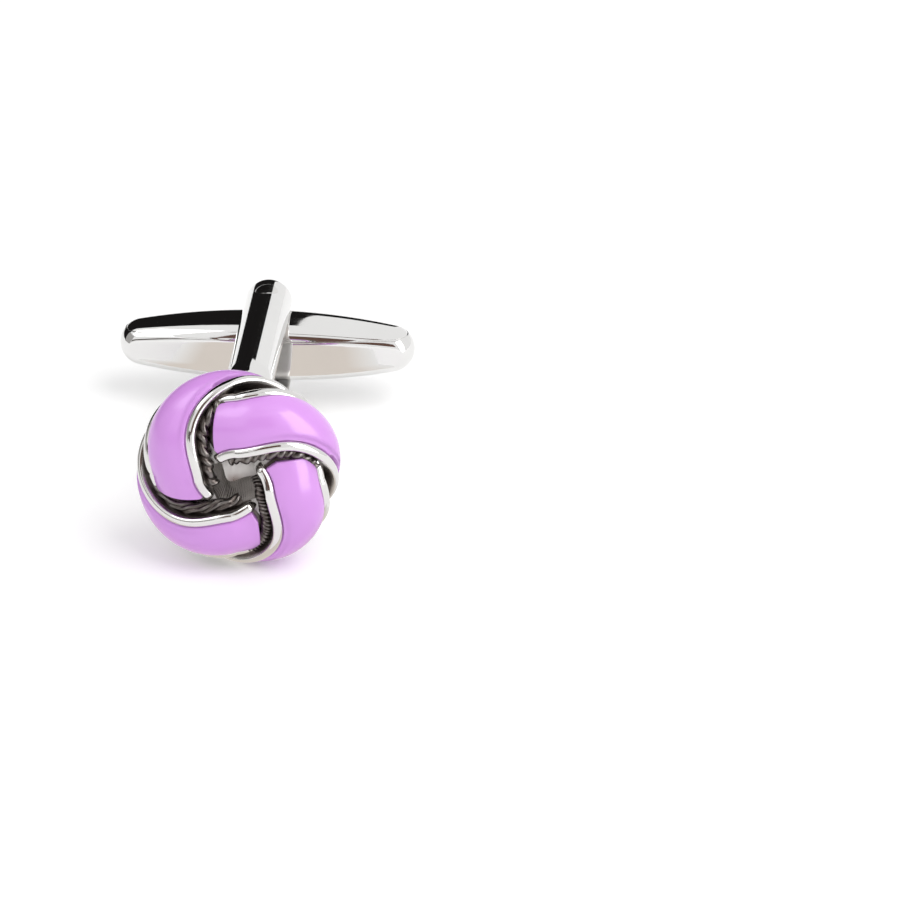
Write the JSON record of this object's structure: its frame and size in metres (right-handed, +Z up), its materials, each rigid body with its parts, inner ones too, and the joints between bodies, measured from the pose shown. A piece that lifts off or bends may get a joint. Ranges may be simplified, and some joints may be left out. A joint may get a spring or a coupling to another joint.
{
  "type": "cufflink",
  "caption": "Knot cufflink: a woven knot of plated straps with lilac enamel, on a U-shaped fork that carries a swivelling bullet-shaped toggle.",
  "frame": {"origin": "on the post axis at the cuff seat, the middle of the back plate's dome", "axes": "+Y along the post from the knot to the toggle, X along the toggle at rest, +Z up along the toggle's pivot"},
  "size_m": [0.02, 0.0259, 0.0132],
  "materials": {
    "plated_metal": "polished bright plating, dark in the gaps of the weave",
    "enamel": "glossy lilac enamel, crowned between the rims",
    "spring_steel": "plain rolled strip"
  },
  "bodies": {
    "knot_and_post": {"knot_casting": "plated_metal", "enamel_left": "enamel", "enamel_top": "enamel", "enamel_right": "enamel", "enamel_bottom": "enamel", "back_plate": "plated_metal", "post_fork": "plated_metal", "pivot_pin": "plated_metal"},
    "toggle": {"toggle_tray": "plated_metal", "toggle_lid": "plated_metal", "leaf_spring": "spring_steel"}
  },
  "joints": [
    {"name": "toggle_swivel", "type": "hinge", "parent": "knot_and_post", "child": "toggle", "pos_m": [0, 0.0167, 0], "axis": [0, 0, 1], "continuous": true, "deforming": ["leaf_spring"]}
  ]
}
